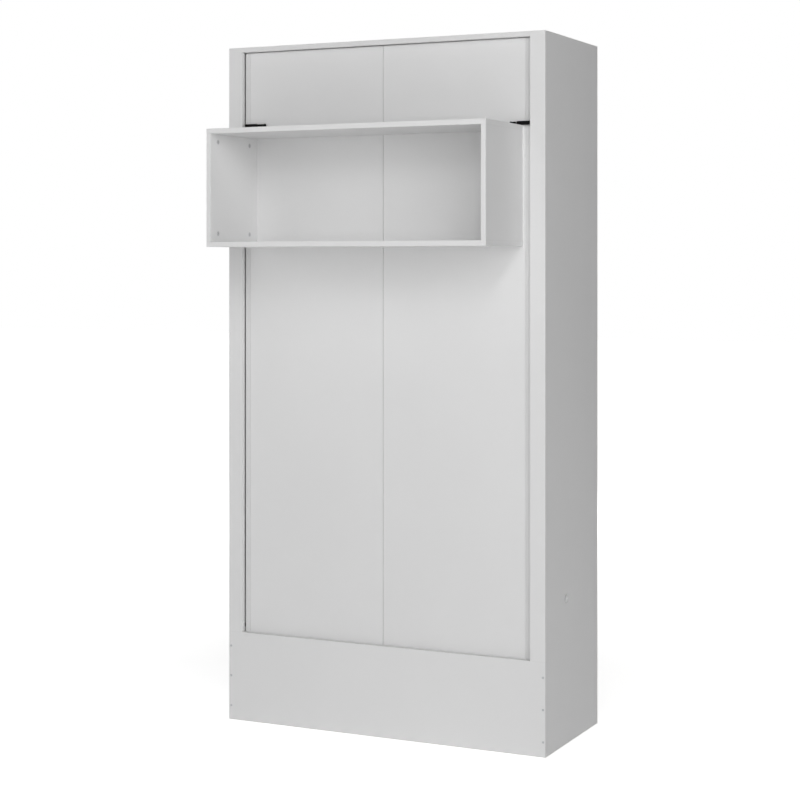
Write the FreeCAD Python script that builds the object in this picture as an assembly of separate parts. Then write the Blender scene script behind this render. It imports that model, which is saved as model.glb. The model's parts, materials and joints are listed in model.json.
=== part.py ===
import FreeCAD, Part
import math
import os
from FreeCAD import Vector

os.makedirs("parts", exist_ok=True)

# Murphy wall bed for one twin mattress, stored upright in its cabinet.
# Millimetres. +Z is up, the door faces -Y, the wall is on the +Y side.
# The origin is the centre of the whole object's footprint, on the floor.

# ---- driving dimensions -----------------------------------------------------

MATTRESS_WIDTH = 990.0
MATTRESS_LENGTH = 1909.0

CABINET_BOARD = 16.0    # sides, top, stiles, plinth and rear boards
BED_BOARD = 18.0        # rails of the bed frame and the batten
DOOR_BOARD = 15.0       # the two panels that close the underside of the bed
SHELF_BOARD = 16.0      # boards of the shelf box

CABINET_HEIGHT = 2250.0
CABINET_DEPTH = 480.0
PLINTH_HEIGHT = 295.0
STILE_WIDTH = 51.0
STILE_GAP = 3.0         # free space between a stile and the bed frame
DOOR_RECESS = 18.0      # door face behind the front of the cabinet
RAIL_DEPTH = 210.0      # bed side rails, front to back when stored
FRAME_BOTTOM = 287.0    # lower end of the stored bed frame

PIVOT_DEPTH = 185.0     # pivot axis behind the front of the cabinet
PIVOT_HEIGHT = 463.0

SHELF_WIDTH = 970.0
SHELF_LOW = 1581.5
SHELF_HIGH = 1960.0

STUD_RADIUS = 200.0     # both strut studs lie this far from the pivot axis
CABINET_STUD_ANGLE = 33.5
BED_STUD_ANGLE = 229.5

# ---- places worked out from them --------------------------------------------

# The shelf box is the leg of the lowered bed, so it is as deep as the door
# face is high above the floor when the bed is down.
SHELF_DEPTH = PIVOT_HEIGHT - (PIVOT_DEPTH - DOOR_RECESS)

TOTAL_DEPTH = CABINET_DEPTH + SHELF_DEPTH - DOOR_RECESS
BACK = TOTAL_DEPTH / 2
FRONT = BACK - CABINET_DEPTH
DOOR = FRONT + DOOR_RECESS
SHELF_FRONT = DOOR - SHELF_DEPTH

RAIL_IN = MATTRESS_WIDTH / 2
RAIL_OUT = RAIL_IN + BED_BOARD
STILE_IN = RAIL_OUT + STILE_GAP
SIDE_OUT = STILE_IN + STILE_WIDTH
SIDE_IN = SIDE_OUT - CABINET_BOARD
SIDE_MID = SIDE_OUT - CABINET_BOARD / 2

FRAME_LOW = FRAME_BOTTOM + BED_BOARD
FRAME_HIGH = FRAME_LOW + MATTRESS_LENGTH
FRAME_TOP = FRAME_HIGH + BED_BOARD
RAIL_BACK = DOOR + RAIL_DEPTH
DOOR_BACK = DOOR + DOOR_BOARD

TOP_UNDER = CABINET_HEIGHT - CABINET_BOARD
REAR_FACE = BACK - CABINET_BOARD
FRONT_BACK = FRONT + CABINET_BOARD   # back of the boards that form the front

PIVOT_Y = FRONT + PIVOT_DEPTH
PIVOT_Z = PIVOT_HEIGHT

RAISED = Vector(0, 0, 1)
BACKWARD = Vector(0, 1, 0)
OUTWARD = Vector(1, 0, 0)


# ---- helpers ----------------------------------------------------------------

def box(x0, x1, y0, y1, z0, z1):
    return Part.makeBox(x1 - x0, y1 - y0, z1 - z0, Vector(x0, y0, z0))


def rod_x(x0, x1, y, z, radius):
    return Part.makeCylinder(radius, x1 - x0, Vector(x0, y, z), OUTWARD)


def rod_y(y0, y1, x, z, radius):
    return Part.makeCylinder(radius, y1 - y0, Vector(x, y0, z), BACKWARD)


def rod_z(z0, z1, x, y, radius):
    return Part.makeCylinder(radius, z1 - z0, Vector(x, y, z0), RAISED)


def mirrored(shape):
    return shape.mirror(Vector(0, 0, 0), OUTWARD)


def drilled(shape, holes):
    for hole in holes:
        shape = shape.cut(hole)
    return shape


def joined(first, others):
    for other in others:
        first = first.fuse(other)
    return first.removeSplitter()


def save(name, shape):
    if not shape.isValid():
        raise RuntimeError("invalid shape: " + name)
    shape.exportStep("parts/" + name + ".step")


def save_group(name, shapes):
    save(name, Part.makeCompound(shapes))


def save_pair(name, shape):
    save(name + "_right", shape)
    save(name + "_left", mirrored(shape))


def both_sides(shapes):
    return shapes + [mirrored(shape) for shape in shapes]


def polar(centre_y, centre_z, radius, degrees):
    turn = math.radians(degrees)
    return centre_y + radius * math.cos(turn), centre_z + radius * math.sin(turn)


CABINET_STUD = polar(PIVOT_Y, PIVOT_Z, STUD_RADIUS, CABINET_STUD_ANGLE)
BED_STUD = polar(PIVOT_Y, PIVOT_Z, STUD_RADIUS, BED_STUD_ANGLE)


def link_plate(x0, x1, first, first_radius, second, second_radius):
    """A flat plate whose outline hugs two circles, in the plane across X."""
    along = math.atan2(second[1] - first[1], second[0] - first[0])
    apart = math.hypot(second[0] - first[0], second[1] - first[1])
    spread = math.acos((first_radius - second_radius) / apart)

    def point(centre, radius, turn):
        return Vector(x0, centre[0] + radius * math.cos(turn), centre[1] + radius * math.sin(turn))

    a = point(first, first_radius, along + spread)
    b = point(first, first_radius, along + math.pi)
    c = point(first, first_radius, along - spread)
    d = point(second, second_radius, along - spread)
    e = point(second, second_radius, along)
    f = point(second, second_radius, along + spread)
    edges = [Part.Arc(a, b, c).toShape(), Part.LineSegment(c, d).toShape()]
    edges += [Part.Arc(d, e, f).toShape(), Part.LineSegment(f, a).toShape()]
    outline = Part.Face(Part.Wire(edges))
    return outline.extrude(Vector(x1 - x0, 0, 0))


# ---- screws and cam locks ---------------------------------------------------

SCREW_RADIUS = 2.0
SCREW_HEAD_RADIUS = 3.9
SCREW_HEAD = 3.0
SCREW_SUNK = 1.0
CAM_RADIUS = 7.5
CAM_DEPTH = 12.0
FIT = 0.05              # radial play of pressed-in and screwed-in pieces


def cross_slot_cutter(radius, depth):
    """Cutter for a cross slot in a face at z = 0, below which the piece lies."""
    half_length = radius * 0.55
    half_width = radius * 0.13
    first = box(-half_length, half_length, -half_width, half_width, -depth, depth)
    second = box(-half_width, half_width, -half_length, half_length, -depth, depth)
    return first.fuse(second)


def turned(shape, facing, place):
    """Turn a piece made facing +Z so that it faces another way, then place it."""
    moved = shape.copy()
    moved.Placement = FreeCAD.Placement(place, FreeCAD.Rotation(RAISED, facing))
    return moved


def cam_lock():
    body = rod_z(-CAM_DEPTH, 0, 0, 0, CAM_RADIUS)
    return body.cut(cross_slot_cutter(CAM_RADIUS, 1.5))


def cam_pocket():
    return rod_z(-CAM_DEPTH, 1, 0, 0, CAM_RADIUS + FIT)


def wood_screw(length):
    head = rod_z(-SCREW_HEAD, 0, 0, 0, SCREW_HEAD_RADIUS)
    head = head.cut(cross_slot_cutter(SCREW_HEAD_RADIUS, 1.2))
    shank = rod_z(-length, -SCREW_HEAD, 0, 0, SCREW_RADIUS)
    return head.fuse(shank)


def wood_screw_hole(length):
    head = rod_z(-SCREW_HEAD, SCREW_SUNK + 1, 0, 0, SCREW_HEAD_RADIUS + FIT)
    shank = rod_z(-length, -SCREW_HEAD, 0, 0, SCREW_RADIUS + FIT)
    return head.fuse(shank)


# ---- cabinet ----------------------------------------------------------------

PLINTH_SCREW_HEIGHTS = [47.0, 147.0, 247.0]
PLINTH_SCREW_LENGTH = 45.0
PLINTH_SCREW_PLACES = [Vector(SIDE_MID, FRONT + SCREW_SUNK, z) for z in PLINTH_SCREW_HEIGHTS]
FORWARD = Vector(0, -1, 0)

DOWEL_RADIUS = 4.0
DOWEL_LENGTH = 30.0
DOWEL_IN_STILE = 12.0
DOWEL_COUNT = 5
DOWEL_MARGIN = 110.0

STRETCHER_DEPTH = 108.0
STRETCHER_LOW = 20.0
STRETCHER_HIGH = 134.0
CAP_RADIUS = 6.5
CAP_DEPTH = 2.0

REAR_RAIL_HEIGHT = 150.0
HEADBOARD_LOW = 480.0
HEADBOARD_HIGH = 980.0
TOP_RAIL_LOW = TOP_UNDER - 200.0
WALL_HOLE_X = 400.0
WALL_HOLE_Z = [TOP_UNDER - 160.0, TOP_UNDER - 40.0]
WALL_HOLE_RADIUS = 4.0
CAM_INSET = 24.0        # cam centre from the end of its board

BOLT_RADIUS = 6.0
BOLT_HEAD_RADIUS = 10.5
BOLT_HEAD = 4.0
COUNTERBORE_RADIUS = 15.0
COUNTERBORE_DEPTH = 11.0


def dowel_heights():
    step = (TOP_UNDER - PLINTH_HEIGHT - 2 * DOWEL_MARGIN) / (DOWEL_COUNT - 1)
    return [PLINTH_HEIGHT + DOWEL_MARGIN + step * index for index in range(DOWEL_COUNT)]


def dowels(radius):
    start = FRONT_BACK - DOWEL_IN_STILE
    return [rod_y(start, start + DOWEL_LENGTH, SIDE_MID, z, radius) for z in dowel_heights()]


def plinth_screws():
    screw = wood_screw(PLINTH_SCREW_LENGTH)
    return [turned(screw, FORWARD, place) for place in PLINTH_SCREW_PLACES]


def plinth_screw_holes():
    hole = wood_screw_hole(PLINTH_SCREW_LENGTH)
    return [turned(hole, FORWARD, place) for place in PLINTH_SCREW_PLACES]


def side_cap(radius, depth):
    middle_y = FRONT + STRETCHER_DEPTH + CABINET_BOARD / 2
    middle_z = (STRETCHER_LOW + STRETCHER_HIGH) / 2
    return rod_x(SIDE_OUT - depth, SIDE_OUT, middle_y, middle_z, radius)


def make_side_panel():
    panel = box(SIDE_IN, SIDE_OUT, FRONT_BACK, BACK, 0, CABINET_HEIGHT)
    counterbore = rod_x(SIDE_OUT - COUNTERBORE_DEPTH, SIDE_OUT + 1, PIVOT_Y, PIVOT_Z, COUNTERBORE_RADIUS)
    bolt_hole = rod_x(SIDE_IN - 1, SIDE_OUT, PIVOT_Y, PIVOT_Z, BOLT_RADIUS + FIT)
    holes = [counterbore, bolt_hole, side_cap(CAP_RADIUS + FIT, CAP_DEPTH)]
    holes += plinth_screw_holes() + dowels(DOWEL_RADIUS + FIT)
    holes += hinge_plate_screws(FIT)
    return drilled(panel, holes)


def make_front_stretcher():
    near = FRONT + STRETCHER_DEPTH
    return box(-SIDE_IN, SIDE_IN, near, near + CABINET_BOARD, STRETCHER_LOW, STRETCHER_HIGH)


def make_stile(latch_height):
    stile = box(STILE_IN, SIDE_OUT, FRONT, FRONT_BACK, PLINTH_HEIGHT, CABINET_HEIGHT)
    strike = rod_x(STILE_IN - 1, STILE_IN + STRIKE_DEPTH, LATCH_Y, latch_height, STRIKE_RADIUS)
    return drilled(stile, dowels(DOWEL_RADIUS + FIT) + [strike])


def make_plinth():
    plinth = box(-SIDE_OUT, SIDE_OUT, FRONT, FRONT_BACK, 0, PLINTH_HEIGHT)
    return drilled(plinth, both_sides(plinth_screw_holes()))


def top_cam_places():
    steps = [60.0, 250.0, 440.0]
    return [Vector(SIDE_IN - CAM_INSET, FRONT + step, TOP_UNDER) for step in steps]


def rear_cam_places(low, high, count):
    margin = 40.0
    step = (high - low - 2 * margin) / (count - 1)
    heights = [low + margin + step * index for index in range(count)]
    return [Vector(SIDE_IN - CAM_INSET, REAR_FACE, z) for z in heights]


REAR_BOARDS = {
    "bottom_rear_rail": (0.0, REAR_RAIL_HEIGHT, 2),
    "headboard_panel": (HEADBOARD_LOW, HEADBOARD_HIGH, 3),
    "top_rear_rail": (TOP_RAIL_LOW, TOP_UNDER, 2),
}


def make_top_panel():
    panel = box(-SIDE_IN, SIDE_IN, FRONT_BACK, BACK, TOP_UNDER, CABINET_HEIGHT)
    header = box(-STILE_IN, STILE_IN, FRONT, FRONT_BACK, TOP_UNDER, CABINET_HEIGHT)
    pockets = [turned(cam_pocket(), Vector(0, 0, -1), place) for place in top_cam_places()]
    return drilled(joined(panel, [header]), both_sides(pockets))


def make_rear_board(name):
    low, high, cams = REAR_BOARDS[name]
    board = box(-SIDE_IN, SIDE_IN, REAR_FACE, BACK, low, high)
    places = rear_cam_places(low, high, cams)
    holes = both_sides([turned(cam_pocket(), FORWARD, place) for place in places])
    if name == "top_rear_rail":
        for x in (-WALL_HOLE_X, WALL_HOLE_X):
            holes += [rod_y(REAR_FACE - 1, BACK + 1, x, z, WALL_HOLE_RADIUS) for z in WALL_HOLE_Z]
    return drilled(board, holes)


def cabinet_cam_locks():
    locks = [turned(cam_lock(), Vector(0, 0, -1), place) for place in top_cam_places()]
    for low, high, cams in REAR_BOARDS.values():
        locks += [turned(cam_lock(), FORWARD, place) for place in rear_cam_places(low, high, cams)]
    return both_sides(locks)


# ---- pivot and hinge plates -------------------------------------------------

PLATE = 3.0
PLATE_SCREW_HEAD = 2.0
PLATE_SCREW_HEAD_RADIUS = 4.5
PLATE_SCREW_RADIUS = 2.5
PLATE_SCREW_LENGTH = 14.0
BOSS_RADIUS = 12.0
BUSH_RADIUS = 9.0
BUSH_FLANGE_RADIUS = 13.0
BUSH_FLANGE = 2.5
PIVOT_PLATE_RADIUS = 45.0
STUD_PLATE_RADIUS = 25.0
STUD_PIN_RADIUS = 4.0
STUD_COLLAR_RADIUS = 7.0
STUD_HEAD_RADIUS = 6.0
STUD_HEAD = 2.0
EYE_WIDTH = 10.0
EYE_PLAY = 0.5
RUNNING = 0.05          # radial clearance of a turning fit

STRUT_X = (RAIL_OUT + SIDE_IN) / 2
HINGE_PLATE_X = SIDE_IN - PLATE
BED_PLATE_X = RAIL_OUT + PLATE
BUSH_FLANGE_X = BED_PLATE_X + BUSH_FLANGE
BOLT_END_X = RAIL_IN + 2.0


def plate_screw_places(stud, stud_angle):
    """Three screws round the pivot and two beside the stud, as (y, z)."""
    turns = [stud_angle + 60.0, stud_angle + 180.0, stud_angle - 60.0]
    places = [polar(PIVOT_Y, PIVOT_Z, 32.0, turn) for turn in turns]
    places += [polar(stud[0], stud[1], 17.0, stud_angle + turn) for turn in (-100.0, 100.0)]
    return places


def hinge_plate_screws(play):
    screws = []
    for y, z in plate_screw_places(CABINET_STUD, CABINET_STUD_ANGLE):
        shank = rod_x(HINGE_PLATE_X, HINGE_PLATE_X + PLATE_SCREW_LENGTH, y, z, PLATE_SCREW_RADIUS + play)
        if play:
            screws.append(shank)
        else:
            head = rod_x(HINGE_PLATE_X - PLATE_SCREW_HEAD, HINGE_PLATE_X, y, z, PLATE_SCREW_HEAD_RADIUS)
            screws.append(head.fuse(shank))
    return screws


def bed_plate_screws(play):
    screws = []
    for y, z in plate_screw_places(BED_STUD, BED_STUD_ANGLE):
        shank = rod_x(BED_PLATE_X - PLATE_SCREW_LENGTH, BED_PLATE_X, y, z, PLATE_SCREW_RADIUS + play)
        if play:
            screws.append(shank)
        else:
            head = rod_x(BED_PLATE_X, BED_PLATE_X + PLATE_SCREW_HEAD, y, z, PLATE_SCREW_HEAD_RADIUS)
            screws.append(head.fuse(shank))
    return screws


def make_hinge_plate():
    """Steel plate on the cabinet side: boss for the pivot bolt, stud for the strut."""
    pivot = (PIVOT_Y, PIVOT_Z)
    plate = link_plate(HINGE_PLATE_X, SIDE_IN, pivot, PIVOT_PLATE_RADIUS, CABINET_STUD, STUD_PLATE_RADIUS)
    boss = rod_x(BUSH_FLANGE_X + 0.5, HINGE_PLATE_X, PIVOT_Y, PIVOT_Z, BOSS_RADIUS)
    eye_far = STRUT_X - EYE_WIDTH / 2 - EYE_PLAY
    eye_near = STRUT_X + EYE_WIDTH / 2 + EYE_PLAY
    y, z = CABINET_STUD
    collar = rod_x(eye_near, HINGE_PLATE_X, y, z, STUD_COLLAR_RADIUS)
    pin = rod_x(eye_far, eye_near, y, z, STUD_PIN_RADIUS)
    head = rod_x(eye_far - STUD_HEAD, eye_far, y, z, STUD_HEAD_RADIUS)
    bore = rod_x(RAIL_OUT, SIDE_IN + 1, PIVOT_Y, PIVOT_Z, BOLT_RADIUS + FIT)
    return drilled(joined(plate, [boss, collar, pin, head]), [bore] + hinge_plate_screws(FIT))


def make_bed_plate():
    """Steel plate on the bed rail: hole for the pivot bush, stud for the strut."""
    pivot = (PIVOT_Y, PIVOT_Z)
    plate = link_plate(RAIL_OUT, BED_PLATE_X, pivot, PIVOT_PLATE_RADIUS, BED_STUD, STUD_PLATE_RADIUS)
    eye_near = STRUT_X - EYE_WIDTH / 2 - EYE_PLAY
    eye_far = STRUT_X + EYE_WIDTH / 2 + EYE_PLAY
    y, z = BED_STUD
    collar = rod_x(BED_PLATE_X, eye_near, y, z, STUD_COLLAR_RADIUS)
    pin = rod_x(eye_near, eye_far, y, z, STUD_PIN_RADIUS)
    head = rod_x(eye_far, eye_far + STUD_HEAD, y, z, STUD_HEAD_RADIUS)
    bore = rod_x(RAIL_IN, STRUT_X, PIVOT_Y, PIVOT_Z, BUSH_RADIUS + FIT)
    return drilled(joined(plate, [collar, pin, head]), [bore] + bed_plate_screws(FIT))


def make_pivot_bolt():
    """Shoulder bolt from the outer face of the cabinet side into the bed rail."""
    head_x = SIDE_OUT - COUNTERBORE_DEPTH
    head = rod_x(head_x, head_x + BOLT_HEAD, PIVOT_Y, PIVOT_Z, BOLT_HEAD_RADIUS)
    shank = rod_x(BOLT_END_X, head_x, PIVOT_Y, PIVOT_Z, BOLT_RADIUS)
    socket_radius = 4.6
    corners = [polar(PIVOT_Y, PIVOT_Z, socket_radius, 60.0 * index) for index in range(7)]
    points = [Vector(head_x + BOLT_HEAD - 4.0, y, z) for y, z in corners]
    socket = Part.Face(Part.makePolygon(points)).extrude(Vector(5.0, 0, 0))
    return joined(shank, [head]).cut(socket)


def make_pivot_bush():
    """Flanged nylon bush in the bed rail that turns on the pivot bolt."""
    sleeve = rod_x(RAIL_IN, BED_PLATE_X, PIVOT_Y, PIVOT_Z, BUSH_RADIUS)
    flange = rod_x(BED_PLATE_X, BUSH_FLANGE_X, PIVOT_Y, PIVOT_Z, BUSH_FLANGE_RADIUS)
    bore = rod_x(RAIL_IN - 1, BUSH_FLANGE_X + 1, PIVOT_Y, PIVOT_Z, BOLT_RADIUS + RUNNING)
    return joined(sleeve, [flange]).cut(bore)


# ---- gas struts -------------------------------------------------------------

EYE_RADIUS = 8.0
CYLINDER_RADIUS = 11.0
CYLINDER_BORE = 9.5
CYLINDER_START = 12.0
CYLINDER_LENGTH = 195.0
CYLINDER_CAP = 4.0
GLAND = 8.0
ROD_RADIUS = 4.0
PISTON_RADIUS = 9.2
PISTON_LENGTH = 11.0

STRUT_SPAN = BED_STUD_ANGLE - CABINET_STUD_ANGLE
STRUT_LENGTH = 2 * STUD_RADIUS * math.sin(math.radians(STRUT_SPAN / 2))
STRUT_TURN = (BED_STUD_ANGLE + CABINET_STUD_ANGLE) / 2 + 90.0
CYLINDER_END = CYLINDER_START + CYLINDER_LENGTH


def strut_placed(shape):
    """Strut pieces are made along +Y from the cabinet stud, then turned into place."""
    shape = shape.copy()
    shape.rotate(Vector(0, 0, 0), OUTWARD, STRUT_TURN)
    shape.translate(Vector(STRUT_X, CABINET_STUD[0], CABINET_STUD[1]))
    return shape


def strut_eye(at, neck_to):
    low = min(at, neck_to)
    high = max(at, neck_to)
    ring = rod_x(-EYE_WIDTH / 2, EYE_WIDTH / 2, at, 0, EYE_RADIUS)
    neck = rod_y(low, high, 0, 0, EYE_WIDTH / 2 - 0.5)
    hole = rod_x(-EYE_WIDTH, EYE_WIDTH, at, 0, STUD_PIN_RADIUS + RUNNING)
    return joined(ring, [neck]).cut(hole)


def make_strut_cylinder():
    tube = rod_y(CYLINDER_START, CYLINDER_END, 0, 0, CYLINDER_RADIUS)
    hollow = rod_y(CYLINDER_START + CYLINDER_CAP, CYLINDER_END - GLAND, 0, 0, CYLINDER_BORE)
    gland = rod_y(CYLINDER_END - GLAND - 1, CYLINDER_END + 1, 0, 0, ROD_RADIUS + RUNNING)
    body = drilled(tube, [hollow, gland])
    return strut_placed(joined(body, [strut_eye(0, CYLINDER_START + 1)]))


def make_strut_rod():
    piston_end = CYLINDER_END - GLAND - 1.0
    piston = rod_y(piston_end - PISTON_LENGTH, piston_end, 0, 0, PISTON_RADIUS)
    rod = rod_y(piston_end - 1, STRUT_LENGTH - EYE_RADIUS - 4, 0, 0, ROD_RADIUS)
    eye = strut_eye(STRUT_LENGTH, STRUT_LENGTH - EYE_RADIUS - 10)
    return strut_placed(joined(piston, [rod, eye]))


# ---- bed frame --------------------------------------------------------------

SEAM = 1.5              # gap between the two door panels
PANEL_PLAY = 0.5        # gap between a door panel and its rail
BATTEN_WIDTH = 70.0
LEDGE = 25.0
LEDGE_FROM_DOOR = 75.0
SLAT_COUNT = 10
SLAT_WIDTH = 90.0
SLAT_THICKNESS = 12.0
SLAT_END_PLAY = 2.0
BRACKET_LEG = 60.0
BRACKET_FROM_DOOR = 35.0
BRACKET_HEIGHT = 35.0
STRAP_WIDTH = 40.0
STRAP_THICKNESS = 2.0
STRAP_FROM_BACK = 7.0
STRAP_HEIGHTS = {"mattress_strap_lower": 850.0, "mattress_strap_upper": 1650.0}

SLAT_FACE = DOOR + LEDGE_FROM_DOOR + LEDGE + SLAT_THICKNESS


def make_bed_rail():
    rail = box(RAIL_IN, RAIL_OUT, DOOR, RAIL_BACK, FRAME_BOTTOM, FRAME_TOP)
    bush_hole = rod_x(RAIL_IN - 1, RAIL_OUT + 1, PIVOT_Y, PIVOT_Z, BUSH_RADIUS + FIT)
    return drilled(rail, [bush_hole] + bed_plate_screws(FIT))


def make_end_rail(low):
    return box(-RAIL_IN, RAIL_IN, DOOR_BACK, RAIL_BACK, low, low + BED_BOARD)


def make_door_panel():
    panel = box(SEAM / 2, RAIL_IN - PANEL_PLAY, DOOR, DOOR_BACK, FRAME_BOTTOM, FRAME_TOP)
    holes = [turned(wood_screw_hole(SHELF_SCREW_LENGTH), BACKWARD, place) for place in shelf_screw_places()]
    return drilled(panel, holes)


def make_seam_batten():
    half = BATTEN_WIDTH / 2
    return box(-half, half, DOOR_BACK, DOOR_BACK + BED_BOARD, FRAME_LOW, FRAME_HIGH)


def make_slat_ledge():
    near = DOOR + LEDGE_FROM_DOOR
    return box(RAIL_IN - LEDGE, RAIL_IN, near, near + LEDGE, FRAME_LOW, FRAME_HIGH)


def make_slat(index):
    pitch = MATTRESS_LENGTH / SLAT_COUNT
    middle = FRAME_LOW + pitch * (index + 0.5)
    end = RAIL_IN - SLAT_END_PLAY
    near = SLAT_FACE - SLAT_THICKNESS
    return box(-end, end, near, SLAT_FACE, middle - SLAT_WIDTH / 2, middle + SLAT_WIDTH / 2)


def corner_bracket():
    """Steel angle in the lower right corner of the frame, behind the door."""
    near = DOOR + BRACKET_FROM_DOOR
    far = near + BRACKET_HEIGHT
    upright = box(RAIL_IN - PLATE, RAIL_IN, near, far, FRAME_LOW, FRAME_LOW + BRACKET_LEG)
    foot = box(RAIL_IN - BRACKET_LEG, RAIL_IN, near, far, FRAME_LOW, FRAME_LOW + PLATE)
    return joined(upright, [foot])


def corner_brackets():
    lower = corner_bracket()
    middle = Vector(0, 0, (FRAME_LOW + FRAME_HIGH) / 2)
    upper = lower.mirror(middle, RAISED)
    return both_sides([lower, upper])


def make_strap(height):
    near = RAIL_BACK - STRAP_FROM_BACK
    low = height - STRAP_WIDTH / 2
    return box(-RAIL_IN, RAIL_IN, near, near + STRAP_THICKNESS, low, low + STRAP_WIDTH)


# ---- shelf box, also the leg of the lowered bed -----------------------------

SHELF_OUT = SHELF_WIDTH / 2
SHELF_IN = SHELF_OUT - SHELF_BOARD
SHELF_CAM_DEPTHS = [50.0, 250.0]
SHELF_CAM_LOW = 27.0
SHELF_CAM_HIGH = 25.0
SHELF_SCREW_LENGTH = 50.0
SHELF_SCREW_X = [200.0, 430.0]


def shelf_screw_places():
    heights = [SHELF_LOW + SHELF_BOARD / 2, SHELF_HIGH - SHELF_BOARD / 2]
    return [Vector(x, DOOR_BACK - SCREW_SUNK, z) for x in SHELF_SCREW_X for z in heights]


def shelf_cam_places():
    low = SHELF_LOW + SHELF_BOARD + SHELF_CAM_LOW
    high = SHELF_HIGH - SHELF_BOARD - SHELF_CAM_HIGH
    return [Vector(SHELF_IN, DOOR - depth, z) for depth in SHELF_CAM_DEPTHS for z in (low, high)]


def shelf_cams(piece):
    return [turned(piece, Vector(-1, 0, 0), place) for place in shelf_cam_places()]


def shelf_screws(piece):
    return both_sides([turned(piece, BACKWARD, place) for place in shelf_screw_places()])


def make_shelf_board(low):
    board = box(-SHELF_OUT, SHELF_OUT, SHELF_FRONT, DOOR, low, low + SHELF_BOARD)
    return drilled(board, shelf_screws(wood_screw_hole(SHELF_SCREW_LENGTH)))


def make_shelf_side():
    low = SHELF_LOW + SHELF_BOARD
    high = SHELF_HIGH - SHELF_BOARD
    board = box(SHELF_IN, SHELF_OUT, SHELF_FRONT, DOOR, low, high)
    return drilled(board, shelf_cams(cam_pocket()))


# ---- slide bolts that lock the stored bed -----------------------------------

LATCH_LENGTH = 44.0
LATCH_TALL = 12.0
LATCH_BORE_RAISED = 0.5      # the bolt lies this much above the middle of its housing
LATCH_THICK = 12.5
LATCH_Y = FRONT + 11.0
LATCH_BOLT_RADIUS = 4.4
LATCH_BOLT_LENGTH = 68.0
LATCH_TIP = 16.0             # slimmer end that enters the stile
LATCH_TIP_RADIUS = 2.5
LATCH_KNOB_RADIUS = 5.2
LATCH_KNOB = 8.0
LATCH_PULLED_BACK = 12.0     # the left bolt is drawn back this much further than the right one
LATCH_INSET = 4.0            # the left housing sits this much further in than the right one
STRIKE_RADIUS = 2.8
STRIKE_DEPTH = 17.0
LATCH_RIGHT_Z = SHELF_HIGH + 6.8
LATCH_LEFT_Z = SHELF_HIGH + 28.8


def make_latch_housing(height, inset):
    outer = RAIL_OUT - inset
    inner = outer - LATCH_LENGTH
    low = height - LATCH_BORE_RAISED - LATCH_TALL / 2
    block = box(inner, outer, DOOR - LATCH_THICK, DOOR, low, low + LATCH_TALL)
    front_edges = [edge for edge in block.Edges if edge.BoundBox.YMax < DOOR - LATCH_THICK + 0.01]
    block = block.makeFillet(1.5, front_edges)
    return block.cut(rod_x(inner - 1, outer + 1, LATCH_Y, height, LATCH_BOLT_RADIUS + RUNNING))


def make_latch_bolt(height, pulled_back):
    tip_x = RAIL_OUT - 0.5 - pulled_back
    knob_x = tip_x - LATCH_BOLT_LENGTH
    tip = rod_x(tip_x - LATCH_TIP - 1, tip_x, LATCH_Y, height, LATCH_TIP_RADIUS)
    rod = rod_x(knob_x + LATCH_KNOB - 1, tip_x - LATCH_TIP, LATCH_Y, height, LATCH_BOLT_RADIUS)
    knob = rod_x(knob_x, knob_x + LATCH_KNOB, LATCH_Y, height, LATCH_KNOB_RADIUS)
    return joined(rod, [tip, knob])


# ---- all nodes --------------------------------------------------------------

save_pair("side_panel", make_side_panel())
save("top_panel", make_top_panel())
save("stile_right", make_stile(LATCH_RIGHT_Z))
save("stile_left", mirrored(make_stile(LATCH_LEFT_Z)))
save("plinth_board", make_plinth())
save_group("plinth_screws", both_sides(plinth_screws()))
save_group("stile_dowels", both_sides(dowels(DOWEL_RADIUS)))
save_group("side_screw_caps", both_sides([side_cap(CAP_RADIUS, CAP_DEPTH)]))
save("front_stretcher", make_front_stretcher())
for rear_board in REAR_BOARDS:
    save(rear_board, make_rear_board(rear_board))
save_group("cabinet_cam_locks", cabinet_cam_locks())

save_pair("hinge_plate", make_hinge_plate())
save_group("hinge_plate_screws", both_sides(hinge_plate_screws(0)))
save_pair("pivot_bolt", make_pivot_bolt())
save_pair("pivot_bush", make_pivot_bush())
save_pair("bed_plate", make_bed_plate())
save_group("bed_plate_screws", both_sides(bed_plate_screws(0)))
save_pair("strut_cylinder", make_strut_cylinder())
save_pair("strut_rod", make_strut_rod())

save_pair("bed_rail", make_bed_rail())
save("bed_head_rail", make_end_rail(FRAME_BOTTOM))
save("bed_foot_rail", make_end_rail(FRAME_HIGH))
save_pair("door_panel", make_door_panel())
save("seam_batten", make_seam_batten())
save_pair("slat_ledge", make_slat_ledge())
for slat_index in range(SLAT_COUNT):
    save("slat_{:02d}".format(slat_index + 1), make_slat(slat_index))
save_group("corner_brackets", corner_brackets())
for strap_name, strap_height in STRAP_HEIGHTS.items():
    save(strap_name, make_strap(strap_height))

save("shelf_top_board", make_shelf_board(SHELF_HIGH - SHELF_BOARD))
save("shelf_bottom_board", make_shelf_board(SHELF_LOW))
save_pair("shelf_side", make_shelf_side())
save_group("shelf_cam_locks", both_sides(shelf_cams(cam_lock())))
save_group("shelf_fixing_screws", shelf_screws(wood_screw(SHELF_SCREW_LENGTH)))

save("latch_housing_right", make_latch_housing(LATCH_RIGHT_Z, 0.0))
save("latch_housing_left", mirrored(make_latch_housing(LATCH_LEFT_Z, LATCH_INSET)))
save("latch_bolt_right", make_latch_bolt(LATCH_RIGHT_Z, 0.0))
save("latch_bolt_left", mirrored(make_latch_bolt(LATCH_LEFT_Z, LATCH_PULLED_BACK)))
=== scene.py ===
import json
import math

import bmesh
import bpy
from mathutils import Matrix, Vector


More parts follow.
